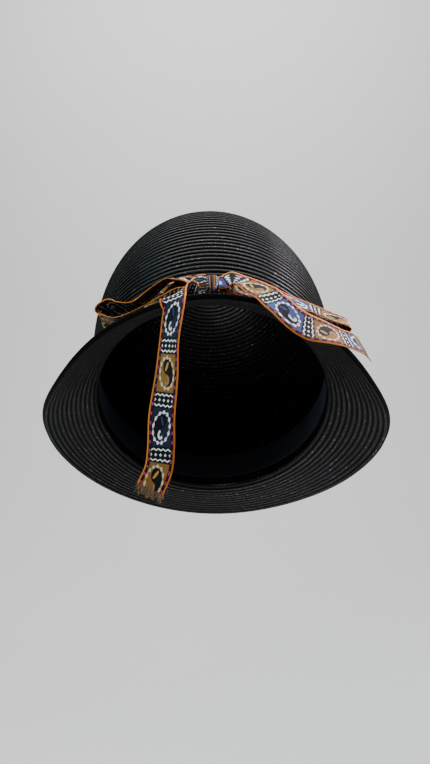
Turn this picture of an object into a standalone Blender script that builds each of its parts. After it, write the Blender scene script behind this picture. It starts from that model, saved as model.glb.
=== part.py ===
# Cloche hat: crown and brim of sewn straw braid, a sweatband, and a woven ribbon tied in a bow.
# Metres. +Z is up as the hat is shown, tipped back so that its front rim is raised.
# The hat itself is worked out upright, with -Y to its front, +Z along the crown and +X to the right
# of someone who looks at the front, and one empty at the head opening's centre tips it back.
import math

import bmesh
import bpy
from mathutils import Matrix, Vector

# Display
TIP_BACK = math.radians(42.6)      # how far the crown leans back from upright

# Crown
HEAD_WIDTH = 0.170                 # outside, at the head opening, side to side
HEAD_DEPTH = 0.203                 # outside, at the head opening, front to back
CROWN_HEIGHT = 0.135               # head opening to tip
CROWN_FLARE = 0.30                 # share by which the side widens towards the top
CROWN_SHOULDER = 2.25              # higher keeps the side straight for longer
CROWN_ROUND = 2.355                # higher makes the tip flatter
TIP_FORWARD = 0.0126               # how far the tip lies in front of the opening's centre
TIP_ASIDE = 0.004                  # how far the tip lies to the left of it
STRAW_WALL = 0.002

# Brim
BRIM_WIDTH = 0.040                 # along the slope, on average
BREAK_BEND = 0.005                 # straight drop before the brim turns out
BRIM_EASE = 0.42                   # share of the width at which the brim has its full slope

# Sweatband, inside the crown
SWEATBAND_HEIGHT = 0.025
SWEATBAND_START = 0.0045           # its lower edge, above the head opening
SWEATBAND_WALL = 0.001

# Ribbon
RIBBON_WIDTH = 0.016
RIBBON_WALL = 0.001
BAND_START = 0.0005                # the band's lower edge, above the head opening
TAIL_DROP = 0.1075                 # how far the left tail hangs below the front rim
SEAT_GAP = 0.0003                  # between pieces that rest on each other

# Knot
KNOT_WIDTH = 0.008
KNOT_DEPTH = 0.007
KNOT_HEIGHT = 0.0125
KNOT_SEAT = 0.42                   # height of its middle over the ribbon's width
KNOT_SQUARE = 3.5                  # 2 is an ellipsoid, higher is squarer
KNOT_TAPER = 0.55                  # share of its width that the knot loses towards its foot
KNOT_PLEATS = 3                    # upright folds across its face
KNOT_PLEAT_DEPTH = 0.07            # share of its depth
KNOT_LEAD = 0.003                  # how far each ribbon runs straight out of the knot's flank

# Round the hat: azimuth in degrees from the right by way of the back, the brim's width as a share
# of BRIM_WIDTH, and its slope below the plane of the head opening in degrees
BRIM_ROWS = [
    {"azimuth": 0, "width": 1.16, "slope": 31},
    {"azimuth": 30, "width": 1.06, "slope": 19},
    {"azimuth": 60, "width": 0.94, "slope": 11},
    {"azimuth": 90, "width": 0.87, "slope": 10},
    {"azimuth": 120, "width": 0.86, "slope": 12},
    {"azimuth": 150, "width": 0.92, "slope": 18},
    {"azimuth": 180, "width": 1.00, "slope": 30},
    {"azimuth": 210, "width": 1.01, "slope": 49},
    {"azimuth": 240, "width": 0.98, "slope": 50},
    {"azimuth": 270, "width": 0.97, "slope": 46},
    {"azimuth": 300, "width": 1.02, "slope": 48},
    {"azimuth": 330, "width": 1.08, "slope": 47},
]

# Sections of the bow's ribbons. across is the direction from the ribbon's lower or nearer edge to the
# other one, towards the hat's right, back and top. wide is a share of RIBBON_WIDTH, and 1 if not given.
# At the knot: side -1 is its left flank and 1 its right one; deep and high are shares of the knot's
# depth, from its back, and of its height, from its middle.
# Beside the crown: turn is the azimuth in degrees; clear, from the band, and height, above the head
# opening, are shares of RIBBON_WIDTH.
# Over the brim: share is the share of the brim's width, past 1 beyond the rim; lift, above the brim's
# top, is a share of RIBBON_WIDTH.
LEFT_LOOP_ROWS = [
    {"side": -1, "deep": 0.50, "high": 0.28, "across": (0, -0.1, 1), "wide": 0.6},
    {"turn": 262.0, "clear": 0.60, "height": 0.12, "across": (0, 0.5, 0.87), "wide": 0.8},
    {"turn": 259.8, "clear": 0.87, "height": 0.06, "across": (0, 0.55, 0.84)},
    {"turn": 256.2, "clear": 0.93, "height": 0.20, "across": (0, 0.70, 0.71)},
    {"turn": 253.9, "clear": 0.98, "height": 0.18, "across": (0, 0.82, 0.57)},
    {"turn": 250.5, "clear": 1.02, "height": 0.02, "across": (0, 0.88, 0.47)},
    {"turn": 247.0, "clear": 1.03, "height": -0.20, "across": (0, 0.92, 0.39)},
    {"turn": 243.4, "clear": 1.03, "height": -0.42, "across": (0, 0.92, 0.39)},
    {"turn": 238.2, "clear": 1.03, "height": -0.18, "across": (0, 0.94, 0.34)},
    {"turn": 232.6, "clear": 0.98, "height": 0.38, "across": (0, 0.97, 0.24)},
    {"turn": 228.0, "clear": 0.95, "height": 0.58, "across": (0, 0.98, 0.20)},
    {"turn": 226.4, "clear": 0.93, "height": 0.34, "across": (0, 0.98, 0.15)},
    {"turn": 228.0, "clear": 0.94, "height": 0.04, "across": (0, 0.98, 0.18)},
    {"turn": 231.6, "clear": 0.97, "height": -0.36, "across": (0, 0.92, 0.39)},
    {"turn": 235.8, "clear": 1.01, "height": -0.78, "across": (0, 0.85, 0.53)},
    {"turn": 240.3, "clear": 1.03, "height": -1.06, "across": (0, 0.74, 0.67)},
    {"turn": 246.4, "clear": 1.00, "height": -1.02, "across": (0, 0.64, 0.77)},
    {"turn": 252.8, "clear": 0.84, "height": -0.62, "across": (0, 0.60, 0.80)},
    {"turn": 257.2, "clear": 0.65, "height": -0.24, "across": (0, 0.42, 0.91)},
    {"turn": 260.6, "clear": 0.34, "height": 0.06, "across": (0, 0.05, 1), "wide": 0.85},
    {"side": -1, "deep": 0.16, "high": 0.1, "across": (0, -0.22, 0.98), "wide": 0.6},
]
RIGHT_LOOP_ROWS = [
    {"side": 1, "deep": 0.42, "high": 0.1, "across": (0, -0.22, 0.98), "wide": 0.6},
    {"turn": 281.0, "clear": 0.12, "height": 0.46, "across": (0, -0.2, 0.98), "wide": 0.9},
    {"turn": 289.0, "clear": 0.20, "height": 0.36, "across": (0, -0.08, 1)},
    {"turn": 297.7, "clear": 0.38, "height": 0.30, "across": (0, 0.15, 0.99)},
    {"turn": 303.1, "clear": 0.49, "height": 0.34, "across": (0, 0.25, 0.97)},
    {"turn": 308.6, "clear": 0.68, "height": 0.34, "across": (0, 0.33, 0.94)},
    {"turn": 312.8, "clear": 0.91, "height": 0.24, "across": (0, 0.33, 0.94)},
    {"turn": 316.0, "clear": 1.20, "height": 0.10, "across": (0, 0.33, 0.94)},
    {"turn": 318.6, "clear": 1.48, "height": 0.04, "across": (0, 0.35, 0.94)},
    {"turn": 320.4, "clear": 1.58, "height": 0.00, "across": (0, 0.35, 0.94)},
    {"turn": 320.6, "clear": 1.40, "height": -0.05, "across": (0, 0.35, 0.94)},
    {"turn": 318.0, "clear": 1.12, "height": -0.02, "across": (0, 0.35, 0.94)},
    {"turn": 313.5, "clear": 0.70, "height": 0.16, "across": (0, 0.33, 0.94)},
    {"turn": 308.6, "clear": 0.42, "height": 0.32, "across": (0, 0.2, 0.98)},
    {"turn": 300.0, "clear": 0.18, "height": 0.36, "across": (0, -0.05, 1)},
    {"turn": 289.0, "clear": 0.06, "height": 0.42, "across": (0, -0.2, 0.98)},
    {"turn": 281.0, "clear": 0.03, "height": 0.48, "across": (0, -0.2, 0.98), "wide": 0.9},
    {"side": 1, "deep": 0.14, "high": 0.1, "across": (0, -0.22, 0.98), "wide": 0.6},
]
LEFT_TAIL_ROWS = [
    {"side": -1, "deep": 0.7, "high": -0.56, "across": (0, -0.5, 0.87), "wide": 0.42},
    {"turn": 263.3, "share": 0.55, "lift": 0.48, "across": (0.64, -0.56, 0.53), "wide": 0.8},
    {"turn": 260.7, "share": 0.70, "lift": 0.52, "across": (0.70, -0.52, 0.49)},
    {"turn": 259.8, "share": 0.84, "lift": 0.42, "across": (0.78, -0.49, 0.40)},
    {"turn": 259.3, "share": 0.96, "lift": 0.25, "across": (0.90, -0.37, 0.24)},
    {"turn": 259.3, "share": 1.03, "lift": 0.09, "across": (0.95, -0.29, 0.09)},
]
RIGHT_TAIL_ROWS = [
    {"side": 1, "deep": 0.8, "high": 0.0, "across": (0, -0.22, 0.98), "wide": 0.6},
    {"turn": 276.6, "share": 0.57, "lift": 1.15, "across": (0.5, -0.05, 0.86), "wide": 0.85},
    {"turn": 278.8, "share": 0.59, "lift": 1.16, "across": (0.72, 0.12, 0.68)},
    {"turn": 281.4, "share": 0.68, "lift": 1.06, "across": (0.68, 0.30, 0.67)},
    {"turn": 283.5, "share": 0.87, "lift": 0.72, "across": (0.65, 0.24, 0.72)},
    {"turn": 284.6, "share": 1.06, "lift": 0.41, "across": (0.69, 0.16, 0.71)},
    {"turn": 286.0, "share": 1.12, "lift": 0.10, "across": (0.69, 0.11, 0.72)},
    {"turn": 287.9, "share": 1.17, "lift": -0.18, "across": (0.67, 0.07, 0.74)},
    {"turn": 290.3, "share": 1.18, "lift": -0.46, "across": (0.63, 0.00, 0.78)},
    {"turn": 293.3, "share": 1.16, "lift": -0.60, "across": (0.54, -0.02, 0.84)},
    {"turn": 296.8, "share": 1.14, "lift": -0.58, "across": (0.47, 0.04, 0.88)},
    {"turn": 302.1, "share": 1.14, "lift": -0.36, "across": (0.40, 0.22, 0.89)},
    {"turn": 306.2, "share": 1.15, "lift": -0.12, "across": (0.40, 0.36, 0.84)},
    {"turn": 309.8, "share": 1.16, "lift": 0.08, "across": (0.40, 0.44, 0.80)},
    {"turn": 313.4, "share": 1.17, "lift": 0.32, "across": (0.42, 0.46, 0.78)},
]
# The left tail below the rim: down, right and front, from its last section over the brim, are shares
# of TAIL_DROP along plumb lines and level ones, and turned is how many degrees its right edge is
# nearer than its left one.
HANGING_ROWS = [
    {"down": 0.05, "right": 0.006, "front": 0.040, "turned": 38},
    {"down": 0.14, "right": -0.003, "front": 0.052, "turned": 42},
    {"down": 0.26, "right": -0.015, "front": 0.055, "turned": 43},
    {"down": 0.49, "right": -0.038, "front": 0.055, "turned": 28},
    {"down": 0.65, "right": -0.055, "front": 0.055, "turned": 17},
    {"down": 0.80, "right": -0.060, "front": 0.055, "turned": 12},
    {"down": 0.90, "right": -0.072, "front": 0.052, "turned": 8},
    {"down": 1.00, "right": -0.115, "front": 0.048, "turned": 2},
]

# How finely the soft forms are divided
ROUND_STEPS = 64
CROWN_STEPS = 15
BRIM_STEPS = 6
BELT_STEPS = 2
RIBBON_STEPS = 3                   # between two sections
RIBBON_CROSS_STEPS = 2
KNOT_STEPS = 24


def catmull_rom(a, b, c, d, t):
    """Smooth value between b and c, for numbers and for vectors."""
    return b + 0.5 * t * (c - a + t * (2 * a - 5 * b + 4 * c - d + t * (3 * (b - c) + d - a)))


def cyclic_value(rows, azimuth, column):
    """Value of one column at an azimuth in degrees, round a closed table of even steps."""
    count = len(rows)
    place = azimuth / 360.0 * count
    low = math.floor(place)
    near = [rows[(low + k) % count][column] for k in (-1, 0, 1, 2)]
    return catmull_rom(*near, place - low)


def open_value(values, place):
    """Value at a place from 0 to 1 along an open list of numbers or vectors."""
    last = len(values) - 1
    low = min(int(place * last), last - 1)
    near = [values[min(max(low + k, 0), last)] for k in (-1, 0, 1, 2)]
    return catmull_rom(*near, place * last - low)


def outward(azimuth):
    """Level direction away from the crown at an azimuth in radians."""
    return Vector((math.cos(azimuth) / HEAD_WIDTH, math.sin(azimuth) / HEAD_DEPTH, 0)).normalized()


def crown_point(azimuth, rise):
    """Point on the crown's outside. azimuth in radians, rise from 0 at the opening to 1 at the tip."""
    reach = (1 + CROWN_FLARE * rise) * max(0.0, 1 - rise ** CROWN_SHOULDER) ** (1 / CROWN_ROUND)
    return Vector((
        HEAD_WIDTH / 2 * reach * math.cos(azimuth) - TIP_ASIDE * rise ** 2,
        HEAD_DEPTH / 2 * reach * math.sin(azimuth) - TIP_FORWARD * rise ** 2,
        CROWN_HEIGHT * rise,
    ))


def crown_axes(azimuth, rise):
    """Directions up the crown's side and away from it, at a point of the side."""
    step = 1e-3
    up = (crown_point(azimuth, rise + step) - crown_point(azimuth, rise)).normalized()
    around = crown_point(azimuth + step, rise) - crown_point(azimuth, rise)
    return up, around.cross(up).normalized()


def brim_point(azimuth, share):
    """Point on the brim's top face. share is 0 at the head opening and 1 at the rim."""
    turn = math.degrees(azimuth)
    width = BRIM_WIDTH * cyclic_value(BRIM_ROWS, turn, "width")
    slope = math.radians(cyclic_value(BRIM_ROWS, turn, "slope"))
    rim = Vector((width * math.cos(slope), -width * math.sin(slope)))
    bend = Vector((0, -BREAK_BEND))
    ease = rim * BRIM_EASE
    left = 1 - share
    out, up = 3 * share * left ** 2 * bend + 3 * share ** 2 * left * ease + share ** 3 * rim
    return crown_point(azimuth, 0) + outward(azimuth) * out + Vector((0, 0, up))


def collection(name):
    made = bpy.data.collections.new(name)
    bpy.context.scene.collection.children.link(made)
    return made


def finish(name, shape, material, parts, seat):
    """Store a bmesh as one named object, carried by the empty at the head opening."""
    mesh = bpy.data.meshes.new(name)
    shape.to_mesh(mesh)
    shape.free()
    mesh.materials.append(material)
    mesh.shade_smooth()
    made = bpy.data.objects.new(name, mesh)
    parts.objects.link(made)
    made.parent = seat
    return made


def add_wall(made, thickness, side):
    """Give an open surface its wall. side is -1 for inwards, 1 for outwards and 0 for both."""
    wall = made.modifiers.new("wall", "SOLIDIFY")
    wall.thickness = thickness
    wall.offset = side
    wall.use_even_offset = side != 0


def plain_material(name, colour, roughness):
    material = bpy.data.materials.new(name)
    material.use_nodes = True
    shader = material.node_tree.nodes["Principled BSDF"]
    shader.inputs["Base Color"].default_value = (*colour, 1)
    shader.inputs["Roughness"].default_value = roughness
    shader.inputs["Metallic"].default_value = 0
    return material


def spun(profile):
    """A profile in the XZ plane, turned once about Z, closed at its seam and at its pole."""
    shape = bmesh.new()
    points = [shape.verts.new(p) for p in profile]
    edges = [shape.edges.new(pair) for pair in zip(points, points[1:])]
    bmesh.ops.spin(shape, geom=points + edges, cent=(0, 0, 0), axis=(0, 0, 1),
                   angle=2 * math.pi, steps=ROUND_STEPS, use_merge=True)
    bmesh.ops.remove_doubles(shape, verts=shape.verts, dist=1e-5)
    return shape


def straw_body(parts, seat):
    """Crown and brim: a flat-brimmed dome of unit size, blocked to the hat's shape."""
    brim = [(2 - k / BRIM_STEPS, 0, 0) for k in range(BRIM_STEPS)]
    angles = [k / CROWN_STEPS * math.pi / 2 for k in range(CROWN_STEPS + 1)]
    dome = [(math.cos(a), 0, math.sin(a)) for a in angles]
    shape = spun(brim + dome)
    for vert in shape.verts:
        azimuth = math.atan2(vert.co.y, vert.co.x) % (2 * math.pi)
        radius = math.hypot(vert.co.x, vert.co.y)
        if vert.co.z > 1e-6:
            vert.co = crown_point(azimuth, min(1.0, vert.co.z))
        else:
            vert.co = brim_point(azimuth, max(0.0, radius - 1))
    bmesh.ops.recalc_face_normals(shape, faces=shape.faces)
    straw = plain_material("black_straw", (0.012, 0.011, 0.013), 0.35)
    made = finish("straw_body", shape, straw, parts, seat)
    add_wall(made, STRAW_WALL, -1)


def crown_belt(name, start, height, offset, wall, side, material, parts, seat):
    """A belt of cloth round the crown: offset is its surface's distance from the crown's outside."""
    low = start / CROWN_HEIGHT
    high = (start + height) / CROWN_HEIGHT
    shape = spun([(1, 0, low + (high - low) * k / BELT_STEPS) for k in range(BELT_STEPS + 1)])
    for vert in shape.verts:
        azimuth = math.atan2(vert.co.y, vert.co.x)
        rise = vert.co.z
        vert.co = crown_point(azimuth, rise) + crown_axes(azimuth, rise)[1] * offset
    bmesh.ops.recalc_face_normals(shape, faces=shape.faces)
    made = finish(name, shape, material, parts, seat)
    add_wall(made, wall, side)


def knot_place():
    """The knot's centre, and its axes to the right, into the hat and up, as one matrix."""
    rise = (BAND_START + KNOT_SEAT * RIBBON_WIDTH) / CROWN_HEIGHT
    front = math.radians(270)
    up, away = crown_axes(front, rise)
    centre = crown_point(front, rise) + away * (2 * SEAT_GAP + RIBBON_WALL + KNOT_DEPTH / 2)
    turned = Matrix((up.cross(away), -away, up)).transposed().to_4x4()
    return Matrix.Translation(centre) @ turned


def bow_knot(material, parts, seat):
    """A squared ball with upright pleats across its face, narrower at its foot."""
    shape = bmesh.new()
    bmesh.ops.create_uvsphere(shape, u_segments=KNOT_STEPS, v_segments=KNOT_STEPS // 2, radius=1)
    for vert in shape.verts:
        powers = sum(abs(value) ** KNOT_SQUARE for value in vert.co)
        x, y, z = vert.co / powers ** (1 / KNOT_SQUARE)
        narrow = 1 - KNOT_TAPER * max(0.0, -z) ** 2
        pleat = 1 - KNOT_PLEAT_DEPTH * (0.5 - 0.5 * math.cos(2 * math.pi * KNOT_PLEATS * x / 2))
        face = y * pleat if y < 0 else y
        vert.co = (x * narrow * KNOT_WIDTH / 2, face * KNOT_DEPTH / 2, z * KNOT_HEIGHT / 2)
    shape.transform(knot_place())
    bmesh.ops.recalc_face_normals(shape, faces=shape.faces)
    finish("bow_knot", shape, material, parts, seat)


def knot_section(row, lead):
    """A ribbon section at the knot's flank, or a short lead out from it."""
    place = Vector((
        row["side"] * (KNOT_WIDTH / 2 + SEAT_GAP + lead),
        (0.5 - row["deep"]) * KNOT_DEPTH,
        row["high"] * KNOT_HEIGHT,
    ))
    return knot_place() @ place, Vector(row["across"]).normalized(), RIBBON_WIDTH * row["wide"]


def section(row, held):
    """A ribbon section's middle, its direction across and its width. held is the share of the width,
    from the lower or nearer edge, at which the row's own point lies."""
    width = RIBBON_WIDTH * row.get("wide", 1)
    across = Vector(row["across"]).normalized()
    azimuth = math.radians(row["turn"])
    if "share" in row:
        lift = SEAT_GAP + RIBBON_WALL / 2 + row["lift"] * RIBBON_WIDTH
        point = brim_point(azimuth, row["share"]) + Vector((0, 0, lift))
    else:
        height = row["height"] * RIBBON_WIDTH
        clear = 2 * SEAT_GAP + RIBBON_WALL * 1.5 + row["clear"] * RIBBON_WIDTH
        point = crown_point(azimuth, max(0.0, height / CROWN_HEIGHT)) + outward(azimuth) * clear
        point.z = height
    return point + across * width * (0.5 - held), across, width


def sections(rows, held):
    """All sections of a ribbon whose table starts at the knot, and may end there too."""
    made = [knot_section(rows[0], 0), knot_section(rows[0], KNOT_LEAD)]
    made += [section(row, held) for row in rows if "turn" in row]
    if "side" in rows[-1]:
        made += [knot_section(rows[-1], KNOT_LEAD), knot_section(rows[-1], 0)]
    return made


def hanging_section(row, start):
    """A section of the left tail below its section over the rim, which hangs plumb whatever the tip."""
    level = Matrix.Rotation(TIP_BACK, 3, "X")
    turned = math.radians(row["turned"])
    offset = Vector((row["right"], -row["front"], -row["down"])) * TAIL_DROP
    across = Vector((math.cos(turned), -math.sin(turned), 0))
    return start + level @ offset, level @ across, RIBBON_WIDTH


def ribbon(name, sections, material, parts, seat):
    """A strip of ribbon through its sections, squared to its own run."""
    points, directions, widths = zip(*sections)
    steps = RIBBON_STEPS * (len(sections) - 1)
    shape = bmesh.new()
    bmesh.ops.create_grid(shape, x_segments=steps, y_segments=RIBBON_CROSS_STEPS, size=1)
    nudge = 0.2 / steps
    for vert in shape.verts:
        place = (vert.co.x + 1) / 2
        ahead = open_value(points, min(1.0, place + nudge))
        behind = open_value(points, max(0.0, place - nudge))
        run = (ahead - behind).normalized()
        across = open_value(directions, place)
        across = (across - run * across.dot(run)).normalized()
        side = vert.co.y / 2 * open_value(widths, place)
        vert.co = open_value(points, place) + across * side
    made = finish(name, shape, material, parts, seat)
    add_wall(made, RIBBON_WALL, 0)


def build():
    for old in list(bpy.data.objects):
        bpy.data.objects.remove(old, do_unlink=True)
    parts = collection("cloche_hat")
    seat = bpy.data.objects.new("head_seat", None)
    parts.objects.link(seat)
    seat.rotation_euler.x = -TIP_BACK
    straw_body(parts, seat)

    navy = plain_material("navy_cloth", (0.006, 0.008, 0.018), 0.8)
    crown_belt("sweatband", SWEATBAND_START, SWEATBAND_HEIGHT, -(STRAW_WALL + SEAT_GAP),
               SWEATBAND_WALL, -1, navy, parts, seat)
    woven = plain_material("woven_ribbon", (0.22, 0.16, 0.16), 0.65)
    crown_belt("ribbon_band", BAND_START, RIBBON_WIDTH, SEAT_GAP, RIBBON_WALL, 1, woven, parts, seat)

    bow_knot(woven, parts, seat)
    ribbon("left_loop", sections(LEFT_LOOP_ROWS, 0), woven, parts, seat)
    ribbon("right_loop", sections(RIGHT_LOOP_ROWS, 0.5), woven, parts, seat)
    over_rim = sections(LEFT_TAIL_ROWS, 0.5)
    hanging = [hanging_section(row, over_rim[-1][0]) for row in HANGING_ROWS]
    ribbon("left_tail", over_rim + hanging, woven, parts, seat)
    ribbon("right_tail", sections(RIGHT_TAIL_ROWS, 0.5), woven, parts, seat)


build()
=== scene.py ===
import math
import random

import bmesh
import bpy
import numpy as np
from mathutils import Matrix, Vector


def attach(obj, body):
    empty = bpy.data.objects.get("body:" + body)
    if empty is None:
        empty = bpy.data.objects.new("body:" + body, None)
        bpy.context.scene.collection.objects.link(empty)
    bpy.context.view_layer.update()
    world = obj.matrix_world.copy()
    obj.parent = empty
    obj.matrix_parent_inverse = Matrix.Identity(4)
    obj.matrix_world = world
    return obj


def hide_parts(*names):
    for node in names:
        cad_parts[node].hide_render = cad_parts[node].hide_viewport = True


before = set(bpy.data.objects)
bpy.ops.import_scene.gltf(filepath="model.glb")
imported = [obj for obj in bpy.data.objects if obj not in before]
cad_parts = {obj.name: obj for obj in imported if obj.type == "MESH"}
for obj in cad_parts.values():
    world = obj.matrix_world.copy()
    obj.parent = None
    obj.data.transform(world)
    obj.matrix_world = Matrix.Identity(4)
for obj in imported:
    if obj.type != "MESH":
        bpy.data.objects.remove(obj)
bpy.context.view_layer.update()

# Worked out upright: -Y to the front, +Z along the crown, +X to the right of someone facing the front.
# Each piece is tipped back as its last step.
tipBack = math.radians(42.6)
tipped = Matrix.Rotation(-tipBack, 4, "X")

crown = {
    "width": 0.170,                # outside, at the head opening
    "depth": 0.203,
    "height": 0.135,
    "flare": 0.30,
    "shoulder": 2.25,
    "round": 2.355,
    "tipForward": 0.0126,
    "tipAside": 0.004,
}
brim = {
    "width": 0.040,
    "bend": 0.005,
    "ease": 0.42,
    # every 30 degrees from the right by way of the back: share of the width, slope in degrees
    "round": [(1.16, 31), (1.06, 19), (0.94, 11), (0.87, 10), (0.86, 12), (0.92, 18),
              (1.00, 30), (1.01, 49), (0.98, 50), (0.97, 46), (1.02, 48), (1.08, 47)],
}
cloth = {"ribbonWidth": 0.016, "seat": 0.0003, "solidWall": 0.001, "bandStart": 0.0005}


def smoothBetween(a, b, c, d, t):
    return b + 0.5 * t * (c - a + t * (2 * a - 5 * b + 4 * c - d + t * (3 * (b - c) + d - a)))


def aroundValue(rows, degrees, column):
    place = degrees / 360.0 * len(rows)
    low = math.floor(place)
    near = [rows[(low + k) % len(rows)][column] for k in (-1, 0, 1, 2)]
    return smoothBetween(*near, place - low)


def alongValue(values, place):
    last = len(values) - 1
    low = min(int(place * last), last - 1)
    near = [values[min(max(low + k, 0), last)] for k in (-1, 0, 1, 2)]
    return smoothBetween(*near, place * last - low)


def outward(angle):
    return Vector((math.cos(angle) / crown["width"], math.sin(angle) / crown["depth"], 0)).normalized()


def crownPoint(angle, rise):
    reach = (1 + crown["flare"] * rise) * max(0.0, 1 - rise ** crown["shoulder"]) ** (1 / crown["round"])
    return Vector((crown["width"] / 2 * reach * math.cos(angle) - crown["tipAside"] * rise ** 2,
                   crown["depth"] / 2 * reach * math.sin(angle) - crown["tipForward"] * rise ** 2,
                   crown["height"] * rise))


def crownAxes(angle, rise):
    step = 1e-3
    up = (crownPoint(angle, rise + step) - crownPoint(angle, rise)).normalized()
    around = crownPoint(angle + step, rise) - crownPoint(angle, rise)
    return up, around.cross(up).normalized()


def brimPoint(angle, share):
    degrees = math.degrees(angle)
    width = brim["width"] * aroundValue(brim["round"], degrees, 0)
    slope = math.radians(aroundValue(brim["round"], degrees, 1))
    rim = Vector((width * math.cos(slope), -width * math.sin(slope)))
    bend = Vector((0, -brim["bend"]))
    left = 1 - share
    out, up = 3 * share * left ** 2 * bend + 3 * share ** 2 * left * rim * brim["ease"] + share ** 3 * rim
    return crownPoint(angle, 0) + outward(angle) * out + Vector((0, 0, up))


class Wire:                        # an output socket that can stand in a sum
    def __init__(self, finish, socket):
        self.finish, self.socket = finish, socket

    def maths(self, kind, *others, flip=False):
        values = [self, *others]
        if flip:
            values.reverse()
        return self.finish.maths(kind, *values)

    def __add__(self, other):
        return self.maths("ADD", other)

    def __sub__(self, other):
        return self.maths("SUBTRACT", other)

    def __rsub__(self, other):
        return self.maths("SUBTRACT", other, flip=True)

    def __mul__(self, other):
        return self.maths("MULTIPLY", other)

    def __truediv__(self, other):
        return self.maths("DIVIDE", other)

    def __lt__(self, other):
        return self.maths("LESS_THAN", other)

    def __gt__(self, other):
        return self.maths("GREATER_THAN", other)

    def __pow__(self, other):
        return self.maths("POWER", other)

    __radd__ = __add__
    __rmul__ = __mul__

    def size(self):
        return self.maths("ABSOLUTE")

    def part(self):
        return self.maths("FRACT")

    def wave(self):
        return self.maths("SINE")

    def atLeast(self, other):
        return self.maths("MAXIMUM", other)

    def atMost(self, other):
        return self.maths("MINIMUM", other)


class Finish:
    def __init__(self, name, **plain):
        self.material = bpy.data.materials.new(name)
        self.material.use_nodes = True
        self.tree = self.material.node_tree
        self.shader = self.tree.nodes["Principled BSDF"]
        for socket, value in plain.items():
            self.feed(self.shader, socket, value)

    def feed(self, node, socket, value):
        target = node.inputs[socket.replace("_", " ") if isinstance(socket, str) else socket]
        if isinstance(value, Wire):
            self.tree.links.new(value.socket, target)
        elif isinstance(value, tuple) and len(value) == 3 and target.type == "RGBA":
            target.default_value = (*value, 1)
        else:
            target.default_value = value

    def node(self, kind, settings=None, sockets=None, out=0):
        made = self.tree.nodes.new(kind)
        for key, value in (settings or {}).items():
            setattr(made, key, value)
        for key, value in (sockets or {}).items():
            self.feed(made, key, value)
        return Wire(self, made.outputs[out])

    def maths(self, kind, *values):
        return self.node("ShaderNodeMath", {"operation": kind}, dict(enumerate(values)))

    def blend(self, a, b, share):
        return self.node("ShaderNodeMix", {"data_type": "RGBA"}, {0: share, 6: a, 7: b}, out=2)

    def layers(self, ground, *painted):
        for colour, mask in painted:
            ground = self.blend(ground, colour, mask)
        return ground

    def runAndAcross(self):            # the piece's own UV map, as two numbers
        spot = self.node("ShaderNodeUVMap", {"uv_map": "lay"})
        split = self.tree.nodes.new("ShaderNodeSeparateXYZ")
        self.feed(split, 0, spot)
        return Wire(self, split.outputs[0]), Wire(self, split.outputs[1]), spot

    def noise(self, vector, scale, detail=2.0):
        return self.node("ShaderNodeTexNoise", None, {"Vector": vector, "Scale": scale, "Detail": detail})

    def stretched(self, vector, x, y):
        return self.node("ShaderNodeMapping", None, {"Vector": vector, "Scale": (x, y, 1.0)})

    def bump(self, height, distance, strength=1.0):
        made = self.node("ShaderNodeBump", None, {"Height": height, "Distance": distance, "Strength": strength})
        self.feed(self.shader, "Normal", made)


def strawBraid():
    look = {
        "dark": (0.0011, 0.0009, 0.0013),
        "lit": (0.0150, 0.0092, 0.0100),
        "litCool": (0.0088, 0.0090, 0.0135),
        "glint": (0.30, 0.27, 0.32),
        # painted shade for the valleys between the braid rows
        "seam": (0.0004, 0.0004, 0.0006),
        "bites": 2.3,              # plait bites in one row's width
    }
    f = Finish("strawBraid", Specular_IOR_Level=0.05, Coat_Roughness=0.24)
    run, row, spot = f.runAndAcross()
    across = row.part()
    middle = (across - 0.5).size() * 2
    plait = ((run * look["bites"] + middle * 0.8).part() - 0.5).size() * 2
    strand = (1 - plait * 0.7) * (1 - middle ** 2) ** 2
    patches = f.noise(f.stretched(spot, 0.12, 0.9), 1.0, 3.0)
    grain = f.noise(f.stretched(spot, 1.7, 3.0), 1.0, 1.0)
    seam = (middle > 0.66) * 1.0
    glossy = ((patches - 0.40) * 4).atLeast(0).atMost(1)
    spark = ((grain - 0.60) * 9).atLeast(0).atMost(1) * (strand > 0.45) * glossy
    cloudy = f.noise(f.stretched(spot, 0.035, 0.10), 1.0, 1.0)
    lit = f.blend(look["lit"], look["litCool"], ((cloudy - 0.40) * 5).atLeast(0).atMost(1))
    colour = f.blend(look["dark"], lit, strand * (patches * 1.2))
    colour = f.blend(colour, look["glint"], spark * 0.5)
    # painted shade: the valleys between the braid rows are darkened towards near-black
    colour = f.blend(colour, look["seam"], seam * 0.9)
    f.feed(f.shader, "Base Color", colour)
    f.feed(f.shader, "Roughness", 0.62 - strand * 0.14 - spark * 0.2)
    f.feed(f.shader, "Coat Weight", (strand * 0.24 + spark * 0.8) * (1 - seam))
    f.bump(strand + grain * 0.3, 0.0004, 0.7)
    return f.material


def sweatCloth():
    look = {"dark": (0.0014, 0.0019, 0.0036), "lit": (0.0038, 0.0052, 0.0100), "sheen": (0.25, 0.35, 0.7)}
    f = Finish("sweatCloth", Roughness=0.85, Sheen_Weight=0.06, Sheen_Roughness=0.5, Specular_IOR_Level=0.25)
    run, across, spot = f.runAndAcross()
    f.feed(f.shader, "Sheen Tint", look["sheen"])
    cloudy = f.noise(spot, 1.5, 3.0)
    twill = ((run * 9 + across * 12).part() - 0.5).size() * 2
    f.feed(f.shader, "Base Color", f.blend(look["dark"], look["lit"], cloudy * 0.7 + twill * 0.2))
    f.bump(twill + cloudy, 0.0002, 0.5)
    return f.material


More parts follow.
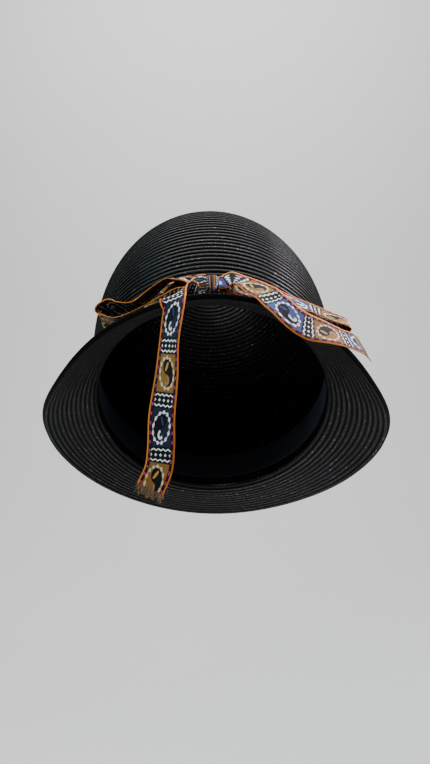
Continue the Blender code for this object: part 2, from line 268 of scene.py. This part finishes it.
jacquardLook = {
    "repeat": 3.80,                # ribbon widths from one blue field to the next
    "field": 1.33,                 # length of a field with a paisley
    "ovalWide": 0.27,
    "ovalLong": 0.48,
    "marks": 5.8,                  # zigzag points and beads in a ribbon's width
    "dots": 3.1,                   # magenta dots in a ribbon's width of length
    "orange": (0.62, 0.19, 0.022),
    "magenta": (0.50, 0.025, 0.15),
    "black": (0.003, 0.003, 0.006),
    "white": (0.80, 0.81, 0.84),
    "cream": (0.66, 0.53, 0.36),
    "gold": (0.52, 0.28, 0.05),
    "brown": (0.235, 0.115, 0.026),
}


def jacquard(name, look, blueGround, blueFill, gloss=0.5):
    f = Finish(name, Specular_IOR_Level=0.10)
    run, side, spot = f.runAndAcross()
    across = side - 0.5
    edge = across.size() * 2
    half = look["repeat"] / 2
    step = (run / half).part() * half
    brownField = ((run / look["repeat"]).part() > 0.5) * 1.0
    facing = brownField * 2 - 1
    # the paisley lies in a beaded oval: a round head, and a tail that sweeps down one side to a curl
    x = (across * facing - (step - look["field"] / 2) * 0.10) / look["ovalWide"]
    y = (look["field"] / 2 - step) / look["ovalLong"]
    reach = (x * x + y * y) ** 0.5
    head = (x * x + (y - 0.48) * (y - 0.48) * 1.1) ** 0.5
    foot = (x * x + (y + 0.50) * (y + 0.50) * 1.1) ** 0.5
    beads = (y.maths("ARCTAN2", x) * 13).wave()
    ring = ((reach - 1.12).size() < beads * 0.07 + 0.085) * 1.0
    oval = (reach < 1.0) * 1.0
    comma = oval * ((x > 0.0) * (foot > 0.40)).atLeast((head < 0.60) * 1.0)
    slant = x - (y - 0.48) * 0.6
    heart = (slant * slant * 4 + (y - 0.48) * (y - 0.48)) < 0.12
    curl = oval * ((foot - 0.28).size() < 0.11) * (x - (y + 0.5) * 0.8 > -0.12)
    # between two fields lies a black band with a zigzag, a row of beads and a zigzag
    bar = (step - look["field"]) / (half - look["field"])
    inBar = (bar > 0.0) * 1.0
    saw = ((across * look["marks"]).part() - 0.5).size()
    zigzag = ((bar - 0.13 - saw * 0.20).size() < 0.048) * 1.0 + ((bar - 0.87 + saw * 0.20).size() < 0.048) * 1.0
    bead = ((bar - 0.5).size() * 3.6 + ((across * look["marks"] + 0.5).part() - 0.5).size() * 1.3) < 0.38
    pale = f.blend(look["white"], look["cream"], brownField)
    colour = f.blend(blueGround, look["brown"], brownField)
    colour = f.layers(
        colour,
        (pale, ring * (1 - inBar)),
        (pale, curl * (1 - brownField * 0.85)),
        (look["black"], comma * (1 - inBar)),
        (f.blend(blueFill, look["gold"], brownField), heart * comma),
        (look["black"], inBar),
        (look["white"], inBar * (zigzag + bead).atMost(1)),
        (look["black"], (edge > 0.70) * 1.0),
        (look["magenta"], (edge > 0.76) * (edge < 0.85) * ((run * look["dots"]).part() < 0.36)),
        (look["orange"], (edge > 0.90) * 1.0),
    )
    weave = f.noise(f.stretched(spot, 60, 16), 1.0, 1.0)
    ribs = ((run * 34).part() - 0.5).size() * 2
    colour = f.blend(colour, look["black"], (weave - 0.35).atLeast(0).atMost(0.5) * 0.9)
    f.feed(f.shader, "Base Color", colour)
    f.feed(f.shader, "Roughness", gloss + weave * 0.25)
    f.bump(ribs * 0.6 + weave + ring * 0.6 + (edge > 0.885) * 0.5, 0.00018, 0.6)
    return f.material


# the reverse shows the same figures, dull and dark
reverseLook = {
    **jacquardLook,
    "orange": (0.42, 0.13, 0.018),
    "magenta": (0.05, 0.008, 0.02),
    "white": (0.30, 0.30, 0.32),
    "cream": (0.26, 0.16, 0.06),
    "gold": (0.20, 0.10, 0.02),
    "brown": (0.060, 0.030, 0.010),
}


def knotWeave():
    look = {
        **jacquardLook,
        "navy": (0.010, 0.013, 0.040),
        "blue": (0.04, 0.06, 0.18),
        "grey": (0.30, 0.30, 0.33),
    }
    f = Finish("knotWeave", Roughness=0.7, Specular_IOR_Level=0.2)
    side, up, spot = f.runAndAcross()    # both from -1 to 1
    weave = f.noise(f.stretched(spot, 10, 26), 1.0, 1.0)
    strip = (side.size() - 0.36).size()
    marks = ((up * 3.1 + side * 1.4).part() < 0.30) * (side.size() > 0.62)
    colour = f.layers(
        look["black"],
        (f.blend(look["navy"], look["blue"], (side > 0) * 1.0), (side.size() > 0.5) * 1.0),
        (look["grey"], marks),
        (look["orange"], (strip < 0.07) * 1.0),
        (look["black"], (weave - 0.4).atLeast(0).atMost(0.4)),
    )
    f.feed(f.shader, "Base Color", colour)
    f.bump(weave, 0.0002, 0.6)
    return f.material


def plainThread(name, colour, roughness):
    f = Finish(name, Roughness=roughness)
    spot = f.node("ShaderNodeTexCoord", out=3)
    shade = f.noise(spot, 900.0, 1.0)
    f.feed(f.shader, "Base Color", f.blend(colour, tuple(c * 0.45 for c in colour), shade))
    return f.material


finishes = {
    "straw": strawBraid(),
    "sweat": sweatCloth(),
    # one jacquard in two copies: a darker copy whose blues carry painted shade, and a lighter copy whose blues
    # carry painted light
    "deep": jacquard("jacquardPaintedShade", jacquardLook, (0.013, 0.016, 0.044), (0.022, 0.034, 0.105)),
    "paintedLitJacquard": jacquard("jacquardPaintedLit", jacquardLook, (0.050, 0.069, 0.21), (0.035, 0.05, 0.15)),
    "back": jacquard("jacquardBack", reverseLook, (0.010, 0.011, 0.017), (0.018, 0.020, 0.032), 0.75),
    "knot": knotWeave(),
}
print("finishes made")


def keep(shape, name, node, slot, *materials):
    shape.transform(tipped)
    mesh = bpy.data.meshes.new(name)
    shape.to_mesh(mesh)
    shape.free()
    for material in materials:
        mesh.materials.append(material)
    mesh.shade_smooth()
    piece = bpy.data.objects.new(name, mesh)
    bpy.context.scene.collection.objects.link(piece)
    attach(piece, "root")
    if node:
        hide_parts(node)
    return piece


straw = {
    "rowsOnCrown": 57,
    "rowsOnBrim": 12,
    "cutRow": 55,                  # hidden by the ribbon's band
    "wall": 0.0019,
    "ridge": 0.00062,
    "lap": 0.00040,                # how far each row stands over the next one
    "stops": (0.0, 0.10, 0.30, 0.62, 0.90),
    "around": 256,
    "samples": 8,                  # per row, for the blocked form
    "crownSteps": 160,             # steps of the measured lines, from tip to opening and from opening to rim
    "brimSteps": 80,
    "rowWidth": 0.0034,
}


def blockedForm():
    turns = [k / straw["around"] * 2 * math.pi for k in range(straw["around"])]
    lines = []
    rises = [math.sin(k / straw["crownSteps"] * math.pi / 2) for k in range(straw["crownSteps"] + 1)]
    for angle in turns:
        sides = ([crownPoint(angle, min(1.0, rise)) for rise in reversed(rises)],
                 [brimPoint(angle, k / straw["brimSteps"]) for k in range(straw["brimSteps"] + 1)])
        line = []
        for points, rows in zip(sides, (straw["rowsOnCrown"], straw["rowsOnBrim"])):
            points = np.array(points)
            reach = np.concatenate(([0], np.cumsum(np.linalg.norm(np.diff(points, axis=0), axis=1))))
            wanted = np.linspace(0, reach[-1], rows * straw["samples"] + 1)
            even = np.stack([np.interp(wanted, reach, points[:, k]) for k in range(3)], axis=1)
            line.append(even if not line else even[1:])
        lines.append(np.concatenate(line))
    form = np.array(lines)
    down = np.gradient(form, axis=1)
    around = np.roll(form, -1, axis=0) - np.roll(form, 1, axis=0)
    away = np.cross(down, around)
    away[:, 0] = (0, 0, 1)
    away /= np.linalg.norm(away, axis=2, keepdims=True)
    return form, away


hatForm, hatAway = blockedForm()


def strawPiece(profile, closed):
    rows = straw["rowsOnCrown"] + straw["rowsOnBrim"]
    shape = bmesh.new()
    points = [shape.verts.new((row / rows, 0, face * 0.02)) for row, face in profile]
    pairs = list(zip(points, points[1:])) + ([(points[-1], points[0])] if closed else [])
    edges = [shape.edges.new(pair) for pair in pairs]
    bmesh.ops.spin(shape, geom=points + edges, cent=(0, 0, 0), axis=(0, 0, 1),
                   angle=2 * math.pi, steps=straw["around"], use_merge=True)
    bmesh.ops.remove_doubles(shape, verts=shape.verts, dist=1e-6)
    bmesh.ops.recalc_face_normals(shape, faces=shape.faces)
    lay = shape.loops.layers.uv.new("lay")
    for face in shape.faces:
        middle = face.calc_center_median()
        row = math.floor(middle.xy.length * rows)
        heading = math.atan2(-middle.x, -middle.y)
        middlePlace = min(row * straw["samples"] + straw["samples"] // 2, hatForm.shape[1] - 1)
        length = 2 * math.pi * np.linalg.norm(hatForm[0, middlePlace, :2])
        for loop in face.loops:
            co = loop.vert.co
            angle = math.atan2(-co.x, -co.y) if co.xy.length > 1e-6 else heading
            angle += round((heading - angle) / (2 * math.pi)) * 2 * math.pi
            loop[lay].uv = (angle / (2 * math.pi) * length / straw["rowWidth"], co.xy.length * rows)
    for vert in shape.verts:
        row = round(vert.co.xy.length * rows, 3)
        turn = round(math.atan2(vert.co.y, vert.co.x) / (2 * math.pi) * straw["around"]) % straw["around"]
        place = min(int(row * straw["samples"]), hatForm.shape[1] - 2)
        share = row * straw["samples"] - place
        point = hatForm[turn, place] * (1 - share) + hatForm[turn, place + 1] * share
        away = hatAway[turn, place] * (1 - share) + hatAway[turn, place + 1] * share
        across = row % 1
        ridge = straw["ridge"] * math.sqrt(math.sin(math.pi * across)) + straw["lap"] * across
        if vert.co.z < 0:
            ridge = -straw["wall"] - (ridge if row > straw["rowsOnCrown"] - 1 else 0)
        vert.co = point + away * ridge
    return shape


cut, last = straw["cutRow"], straw["rowsOnCrown"] + straw["rowsOnBrim"]
outside = [(row + stop, 1) for row in range(cut) for stop in straw["stops"]] + [(cut, 1)]
inside = [(row, -1) for row in range(cut, -1, -1)]
crownShape = strawPiece(outside + inside, False)
keep(crownShape, "crownStraw", "straw_body", "black_straw", finishes["straw"])
rim = [row + stop for row in range(cut, last) for stop in straw["stops"]] + [last - 0.02]
section = [(row, 1) for row in rim] + [(row, -1) for row in reversed(rim)]
brimShape = strawPiece(section, True)
keep(brimShape, "brimStraw", "straw_body", "black_straw", finishes["straw"])
print("straw sewn")


sweatband = {"start": 0.0045, "height": 0.025, "wall": 0.0008, "sink": 0.0023, "around": 192, "steps": 10}
ribbonBand = {"start": 0.0005, "height": 0.016, "wall": 0.0008, "sink": -0.0004, "around": 192, "steps": 6}


def belt(size, name, node, slot, material, ripple, side):
    shape = bmesh.new()
    points = [shape.verts.new((1, 0, k / size["steps"])) for k in range(size["steps"] + 1)]
    edges = [shape.edges.new(pair) for pair in zip(points, points[1:])]
    bmesh.ops.spin(shape, geom=points + edges, cent=(0, 0, 0), axis=(0, 0, 1),
                   angle=2 * math.pi, steps=size["around"], use_merge=True)
    bmesh.ops.remove_doubles(shape, verts=shape.verts, dist=1e-6)
    lay = shape.loops.layers.uv.new("lay")
    length = math.pi * (crown["width"] + crown["depth"]) / 2 / cloth["ribbonWidth"]
    for face in shape.faces:
        middle = face.calc_center_median()
        heading = math.atan2(-middle.x, -middle.y)
        for loop in face.loops:
            angle = math.atan2(-loop.vert.co.x, -loop.vert.co.y)
            angle += round((heading - angle) / (2 * math.pi)) * 2 * math.pi
            loop[lay].uv = (angle / (2 * math.pi) * length, loop.vert.co.z)
    for vert in shape.verts:
        angle = math.atan2(vert.co.y, vert.co.x)
        rise = (size["start"] + size["height"] * vert.co.z) / crown["height"]
        soft = ripple * (math.sin(angle * 17) + math.sin(angle * 7 + 1.3)) * vert.co.z
        vert.co = crownPoint(angle, rise) - crownAxes(angle, rise)[1] * (size["sink"] + abs(soft))
    bmesh.ops.recalc_face_normals(shape, faces=shape.faces)
    piece = keep(shape, name, node, slot, material)
    wall = piece.modifiers.new("wall", "SOLIDIFY")
    wall.thickness = size["wall"]
    wall.offset = side
    return piece


belt(sweatband, "sweatbandCloth", "sweatband", "navy_cloth", finishes["sweat"], 0.0004, -1)
# the band takes the darker copy of the jacquard, with painted shade in its blues
crownRibbon = belt(ribbonBand, "crownRibbon", "ribbon_band", "woven_ribbon", finishes["deep"], 0, 1)


knot = {
    "width": 0.008, "depth": 0.007, "height": 0.0125, "seat": 0.42, "square": 3.5,
    "taper": 0.55, "pleats": 3, "pleatDepth": 0.07, "lead": 0.003, "steps": 96,
}


def knotPlace():
    rise = (cloth["bandStart"] + knot["seat"] * cloth["ribbonWidth"]) / crown["height"]
    up, away = crownAxes(math.radians(270), rise)
    clear = 2 * cloth["seat"] + cloth["solidWall"] + knot["depth"] / 2
    centre = crownPoint(math.radians(270), rise) + away * clear
    return Matrix.Translation(centre) @ Matrix((up.cross(away), -away, up)).transposed().to_4x4()


def knotPiece():
    shape = bmesh.new()
    bmesh.ops.create_uvsphere(shape, u_segments=knot["steps"], v_segments=knot["steps"] // 2, radius=1)
    lay = shape.loops.layers.uv.new("lay")
    for vert in shape.verts:
        powers = sum(abs(value) ** knot["square"] for value in vert.co)
        x, y, z = vert.co / powers ** (1 / knot["square"])
        for loop in vert.link_loops:
            loop[lay].uv = (x, z)
        narrow = 1 - knot["taper"] * max(0.0, -z) ** 2
        fold = math.cos(math.pi * knot["pleats"] * x + 0.5 * math.sin(z * 2))
        pleat = 1 - knot["pleatDepth"] * (1.3 - 1.3 * fold)
        face = y * pleat if y < 0 else y
        vert.co = (x * narrow * knot["width"] / 2, face * knot["depth"] / 2, z * knot["height"] / 2)
    shape.transform(knotPlace())
    bmesh.ops.recalc_face_normals(shape, faces=shape.faces)
    return shape


keep(knotPiece(), "knotRibbon", "bow_knot", "woven_ribbon", finishes["knot"])
print("band and knot tied")


# Each row is a section of a ribbon. Knot rows: side of the knot, depth, height. Crown rows: turn, clear of
# the band, height. Brim rows: turn, share of the brim, lift over it. Then the direction across and the
# width's share.
bow = {
    "steps": 9, "acrossSteps": 8, "wall": 0.00045,
    "curl": 0.0022, "ripple": 0.00035, "rippleLength": 0.0061,
    "drawnOver": 3.6,              # the weave is drawn up over this many widths from the knot
    "leftLoop": [
        ("knot", -1, 0.50, 0.28, (0, -0.1, 1), 0.6),
        ("crown", 262.0, 0.60, 0.12, (0, 0.5, 0.87), 0.8),
        ("crown", 259.8, 0.87, 0.06, (0, 0.55, 0.84), 1),
        ("crown", 256.2, 0.93, 0.20, (0, 0.70, 0.71), 1),
        ("crown", 253.9, 0.98, 0.18, (0, 0.82, 0.57), 1),
        ("crown", 250.5, 1.02, 0.02, (0, 0.88, 0.47), 1),
        ("crown", 247.0, 1.03, -0.20, (0, 0.92, 0.39), 1),
        ("crown", 243.4, 1.03, -0.42, (0, 0.92, 0.39), 1),
        ("crown", 238.2, 1.03, -0.18, (0, 0.94, 0.34), 1),
        ("crown", 232.6, 0.98, 0.38, (0, 0.97, 0.24), 1),
        ("crown", 228.0, 0.95, 0.58, (0, 0.98, 0.20), 1),
        ("crown", 226.4, 0.93, 0.34, (0, 0.98, 0.15), 1),
        ("crown", 228.0, 0.94, 0.04, (0, 0.98, 0.18), 1),
        ("crown", 231.6, 0.97, -0.36, (0, 0.92, 0.39), 1),
        ("crown", 235.8, 1.01, -0.78, (0, 0.85, 0.53), 1),
        ("crown", 240.3, 1.03, -1.06, (0, 0.74, 0.67), 1),
        ("crown", 246.4, 1.00, -1.02, (0, 0.64, 0.77), 1),
        ("crown", 252.8, 0.84, -0.62, (0, 0.60, 0.80), 1),
        ("crown", 257.2, 0.65, -0.24, (0, 0.42, 0.91), 1),
        ("crown", 260.6, 0.34, 0.06, (0, 0.05, 1), 0.85),
        ("knot", -1, 0.16, 0.1, (0, -0.22, 0.98), 0.6),
    ],
    "rightLoop": [
        ("knot", 1, 0.42, 0.1, (0, -0.22, 0.98), 0.6),
        ("crown", 281.0, 0.12, 0.46, (0, -0.2, 0.98), 0.9),
        ("crown", 289.0, 0.20, 0.36, (0, -0.08, 1), 1),
        ("crown", 297.7, 0.38, 0.30, (0, 0.15, 0.99), 1),
        ("crown", 303.1, 0.49, 0.34, (0, 0.25, 0.97), 1),
        ("crown", 308.6, 0.68, 0.34, (0, 0.33, 0.94), 1),
        ("crown", 312.8, 0.91, 0.24, (0, 0.33, 0.94), 1),
        ("crown", 316.0, 1.20, 0.10, (0, 0.33, 0.94), 1),
        ("crown", 318.6, 1.48, 0.04, (0, 0.35, 0.94), 1),
        ("crown", 320.4, 1.58, 0.00, (0, 0.35, 0.94), 1),
        ("crown", 320.6, 1.40, -0.05, (0, 0.35, 0.94), 1),
        ("crown", 318.0, 1.12, -0.02, (0, 0.35, 0.94), 1),
        ("crown", 313.5, 0.70, 0.16, (0, 0.33, 0.94), 1),
        ("crown", 308.6, 0.42, 0.32, (0, 0.2, 0.98), 1),
        ("crown", 300.0, 0.18, 0.36, (0, -0.05, 1), 1),
        ("crown", 289.0, 0.06, 0.42, (0, -0.2, 0.98), 1),
        ("crown", 281.0, 0.03, 0.48, (0, -0.2, 0.98), 0.9),
        ("knot", 1, 0.14, 0.1, (0, -0.22, 0.98), 0.6),
    ],
    "leftTail": [
        ("knot", -1, 0.7, -0.56, (0, -0.5, 0.87), 0.42),
        ("brim", 263.3, 0.55, 0.48, (0.64, -0.56, 0.53), 0.8),
        ("brim", 260.7, 0.70, 0.52, (0.70, -0.52, 0.49), 1),
        ("brim", 259.8, 0.84, 0.42, (0.78, -0.49, 0.40), 1),
        ("brim", 259.3, 0.96, 0.25, (0.90, -0.37, 0.24), 1),
        ("brim", 259.3, 1.03, 0.09, (0.95, -0.29, 0.09), 1),
    ],
    "rightTail": [
        ("knot", 1, 0.8, 0.0, (0, -0.22, 0.98), 0.6),
        ("brim", 276.6, 0.57, 1.15, (0.5, -0.05, 0.86), 0.85),
        ("brim", 278.8, 0.59, 1.16, (0.72, 0.12, 0.68), 1),
        ("brim", 281.4, 0.68, 1.06, (0.68, 0.30, 0.67), 1),
        ("brim", 283.5, 0.87, 0.72, (0.65, 0.24, 0.72), 1),
        ("brim", 284.6, 1.06, 0.41, (0.69, 0.16, 0.71), 1),
        ("brim", 286.0, 1.12, 0.10, (0.69, 0.11, 0.72), 1),
        ("brim", 287.9, 1.17, -0.18, (0.67, 0.07, 0.74), 1),
        ("brim", 290.3, 1.18, -0.46, (0.63, 0.00, 0.78), 1),
        ("brim", 293.3, 1.16, -0.60, (0.54, -0.02, 0.84), 1),
        ("brim", 296.8, 1.14, -0.58, (0.47, 0.04, 0.88), 1),
        ("brim", 302.1, 1.14, -0.36, (0.40, 0.22, 0.89), 1),
        ("brim", 306.2, 1.15, -0.12, (0.40, 0.36, 0.84), 1),
        ("brim", 309.8, 1.16, 0.08, (0.40, 0.44, 0.80), 1),
        ("brim", 313.4, 1.17, 0.32, (0.42, 0.46, 0.78), 1),
    ],
    "drop": 0.1075,                # how far the left tail hangs below the rim
    # down, right and front as shares of the drop, and the turn in degrees
    "hanging": [
        (0.05, 0.006, 0.040, 38),
        (0.14, -0.003, 0.052, 42),
        (0.26, -0.015, 0.055, 43),
        (0.49, -0.038, 0.055, 28),
        (0.65, -0.055, 0.055, 17),
        (0.80, -0.060, 0.055, 12),
        (0.90, -0.072, 0.052, 8),
        (1.00, -0.115, 0.048, 2),
    ],
}


def atKnot(row, lead):
    kind, side, deep, high, across, wide = row
    place = Vector((side * (knot["width"] / 2 + cloth["seat"] + lead),
                    (0.5 - deep) * knot["depth"], high * knot["height"]))
    return knotPlace() @ place, Vector(across).normalized(), cloth["ribbonWidth"] * wide


def besideHat(row, held):
    kind, degrees, first, second, across, wide = row
    across = Vector(across).normalized()
    width = cloth["ribbonWidth"] * wide
    angle = math.radians(degrees)
    if kind == "brim":
        lift = cloth["seat"] + cloth["solidWall"] / 2 + second * cloth["ribbonWidth"]
        point = brimPoint(angle, first) + Vector((0, 0, lift))
    else:
        height = second * cloth["ribbonWidth"]
        clear = 2 * cloth["seat"] + cloth["solidWall"] * 1.5 + first * cloth["ribbonWidth"]
        point = crownPoint(angle, max(0.0, height / crown["height"])) + outward(angle) * clear
        point.z = height
    return point + across * width * (0.5 - held), across, width


def ribbonSections(rows, held):
    found = [atKnot(rows[0], 0), atKnot(rows[0], knot["lead"])]
    found += [besideHat(row, held) for row in rows if row[0] != "knot"]
    if rows[-1][0] == "knot":
        found += [atKnot(rows[-1], knot["lead"]), atKnot(rows[-1], 0)]
    return found


def hangingSections(start):
    level = Matrix.Rotation(tipBack, 3, "X")
    found = []
    for down, right, front, turned in bow["hanging"]:
        turned = math.radians(turned)
        offset = Vector((right, -front, -down)) * bow["drop"]
        across = level @ Vector((math.cos(turned), -math.sin(turned), 0))
        found.append((start + level @ offset, across, cloth["ribbonWidth"]))
    return found


def ribbonSpot(sections, place, side):
    nudge = 0.004
    points, directions, widths = zip(*sections)
    run = alongValue(points, min(1.0, place + nudge)) - alongValue(points, max(0.0, place - nudge))
    run.normalize()
    across = alongValue(directions, place)
    across = (across - run * across.dot(run)).normalized()
    return alongValue(points, place) + across * side * alongValue(widths, place), run, across


def ribbonPiece(name, node, sections, front, start, seed, turnedOver=False, drawnUp=0.0):
    steps = bow["steps"] * (len(sections) - 1)
    line = [ribbonSpot(sections, k / steps, 0)[0] for k in range(steps + 1)]
    reach = [0.0]
    for a, b in zip(line, line[1:]):
        reach.append(reach[-1] + (b - a).length)
    shape = bmesh.new()
    bmesh.ops.create_grid(shape, x_segments=steps, y_segments=bow["acrossSteps"], size=1)
    lay = shape.loops.layers.uv.new("lay")
    for vert in shape.verts:
        place, side = (vert.co.x + 1) / 2, vert.co.y / 2
        last = reach[round(place * steps)]
        for loop in vert.link_loops:
            widths = last / cloth["ribbonWidth"]
            loop[lay].uv = (widths + start + drawnUp * max(0.0, 1 - widths / bow["drawnOver"]), side + 0.5)
        point, run, across = ribbonSpot(sections, place, side)
        ease = min(1.0, 6 * place, 6 * (1 - place) + 0.4)
        ripple = bow["ripple"] * math.sin(last / bow["rippleLength"] + seed) * (2 * abs(side))
        lift = (side * side - 0.08) * bow["curl"] + ripple
        vert.co = point + run.cross(across) * lift * ease
    if turnedOver:                 # the pattern's side faces away from the run's own normal
        bmesh.ops.reverse_faces(shape, faces=shape.faces)
    piece = keep(shape, name, node, "woven_ribbon", front, finishes["back"])
    wall = piece.modifiers.new("wall", "SOLIDIFY")
    wall.thickness = bow["wall"]
    wall.offset = 0
    wall.material_offset = 1
    print(name, "is", round(reach[-1], 4), "m long")
    return piece, reach[-1]


thread = {
    "radius": 0.00018, "root": 0.0015, "steps": 6, "roughness": 0.7,
    "colours": [(0.012, 0.012, 0.018), (0.34, 0.17, 0.035), (0.16, 0.10, 0.05)],
}


def frayedEnd(name, sections, count, longest, seed, droop):
    pick = random.Random(seed)
    made = []
    for k in range(count):
        side = (k + pick.uniform(-0.4, 0.4)) / (count - 1) - 0.5
        point, run, across = ribbonSpot(sections, 1.0, max(-0.5, min(0.5, side)))
        length = longest * pick.uniform(0.25, 1.0)
        lean = across * pick.uniform(-0.55, 0.55)
        strand = [point - run * thread["root"]]
        for step in range(1, thread["steps"] + 1):
            share = step / thread["steps"]
            strand.append(point + (run + lean * share) * length * share + droop * length * share ** 2
                          + across * pick.uniform(-0.05, 0.05) * length)
        made.append((strand, pick.choice(range(len(thread["colours"])))))
    for number, colour in enumerate(thread["colours"]):
        curve = bpy.data.curves.new(name, "CURVE")
        curve.dimensions = "3D"
        curve.bevel_depth = thread["radius"]
        curve.bevel_resolution = 1
        curve.use_fill_caps = True
        for strand, pickedColour in made:
            if pickedColour != number:
                continue
            spline = curve.splines.new("POLY")
            spline.points.add(len(strand) - 1)
            for spot, co in zip(spline.points, strand):
                spot.co = (*co, 1)
        holder = bpy.data.objects.new(name, curve)
        bpy.context.scene.collection.objects.link(holder)
        mesh = bpy.data.meshes.new_from_object(holder.evaluated_get(bpy.context.evaluated_depsgraph_get()))
        bpy.data.objects.remove(holder)
        shape = bmesh.new()
        shape.from_mesh(mesh)
        bpy.data.meshes.remove(mesh)
        finish = plainThread(f"{name}Thread{number + 1}", colour, thread["roughness"])
        keep(shape, f"{name}{number + 1}", None, "woven_ribbon", finish)


leftLoopSections = ribbonSections(bow["leftLoop"], 0)
rightLoopSections = ribbonSections(bow["rightLoop"], 0.5)
overRim = ribbonSections(bow["leftTail"], 0.5)
leftTailSections = overRim + hangingSections(overRim[-1][0])
rightTailSections = ribbonSections(bow["rightTail"], 0.5)
# the left loop and tail take the darker copy of the jacquard with painted shade, the right loop and tail the
# lighter copy with painted light
ribbons = [
    ribbonPiece("leftLoopRibbon", "left_loop", leftLoopSections, finishes["deep"], 0.2, 1.0, turnedOver=True),
    ribbonPiece("rightLoopRibbon", "right_loop", rightLoopSections, finishes["paintedLitJacquard"], 1.345, 2.0),
    ribbonPiece("leftTailRibbon", "left_tail", leftTailSections, finishes["deep"], 0.985, 3.0),
    ribbonPiece("rightTailRibbon", "right_tail", rightTailSections, finishes["paintedLitJacquard"], -0.12, 4.0,
                drawnUp=1.3),
]
level = Matrix.Rotation(tipBack, 3, "X")
frayedEnd("leftFray", leftTailSections, 140, 0.0040, 11, level @ Vector((0, 0, -0.5)))
frayedEnd("rightFray", rightTailSections, 130, 0.0085, 12, level @ Vector((0, 0, -0.25)))
print("bow tied")


stage = {"floor": -0.62, "size": 6.0, "bendStart": 1.6, "bend": 1.2, "tone": (0.78, 0.79, 0.79)}


def floorSweep():
    shape = bmesh.new()
    bmesh.ops.create_grid(shape, x_segments=24, y_segments=48, size=stage["size"])
    for vert in shape.verts:
        beyond = max(0.0, vert.co.y - stage["bendStart"])
        turn = min(beyond / stage["bend"], math.pi / 2)
        straight = max(0.0, beyond - stage["bend"] * math.pi / 2)
        vert.co.z = stage["floor"] + stage["bend"] * (1 - math.cos(turn)) + straight
        if beyond:
            vert.co.y = stage["bendStart"] + stage["bend"] * math.sin(turn)
    mesh = bpy.data.meshes.new("floor")
    shape.to_mesh(mesh)
    shape.free()
    mesh.shade_smooth()
    floor = bpy.data.objects.new("floor", mesh)
    bpy.context.scene.collection.objects.link(floor)
    f = Finish("paleFloor", Roughness=0.9)
    spot = f.node("ShaderNodeTexCoord", out=3)
    darker = tuple(c * 0.97 for c in stage["tone"])
    f.feed(f.shader, "Base Color", f.blend(stage["tone"], darker, f.noise(spot, 3.0)))
    mesh.materials.append(f.material)


floorSweep()
# name, place, aim, power, size, spread in degrees, tint
lights = [
    ("keyLight", (1.30, 0.20, 0.95), (0, 0, 0.03), 5.0, 0.7, 36, (1.0, 0.95, 1.0)),
    ("fillLight", (-1.4, -0.4, 1.1), (0, 0, 0.03), 2.2, 1.0, 36, (0.60, 1.0, 0.96)),
    ("frontLight", (-0.4, -1.7, 0.9), (0, 0, 0), 16, 0.6, 180, (1.0, 0.97, 0.94)),
    ("lowLight", (-0.12, -0.10, -0.52), (-0.04, 0.02, -0.09), 0.9, 0.25, 180, (1.0, 0.98, 1.0)),
    ("topLight", (0.0, 0.5, 1.8), (0, 0, 0), 12, 1.6, 180, (1, 1, 1)),
    ("backdropLight", (0.0, 0.9, 2.2), (0, 2.8, 0.1), 100, 2.4, 180, (1, 1, 1)),
]
for name, place, aim, power, size, spread, tint in lights:
    lamp = bpy.data.lights.new(name, "AREA")
    lamp.energy = power
    lamp.size = size
    lamp.spread = math.radians(spread)
    lamp.color = tint
    holder = bpy.data.objects.new(name, lamp)
    holder.location = place
    holder.rotation_euler = (Vector(aim) - Vector(place)).to_track_quat("-Z", "Y").to_euler()
    bpy.context.scene.collection.objects.link(holder)
world = bpy.data.worlds.new("softRoom")
world.use_nodes = True
background = world.node_tree.nodes["Background"]
background.inputs["Color"].default_value = (0.86, 0.89, 0.90, 1)
background.inputs["Strength"].default_value = 0.08
bpy.context.scene.world = world

camera = bpy.data.cameras.new("camera")
camera.lens = 31.45
camera.sensor_width = 36
cameraHolder = bpy.data.objects.new("camera", camera)
cameraHolder.location = (0.00176, -0.48845, 0.0173)
cameraHolder.rotation_euler = (math.radians(90), 0, 0)
bpy.context.scene.collection.objects.link(cameraHolder)
bpy.context.scene.camera = cameraHolder
bpy.context.view_layer.update()

print("scene ready")
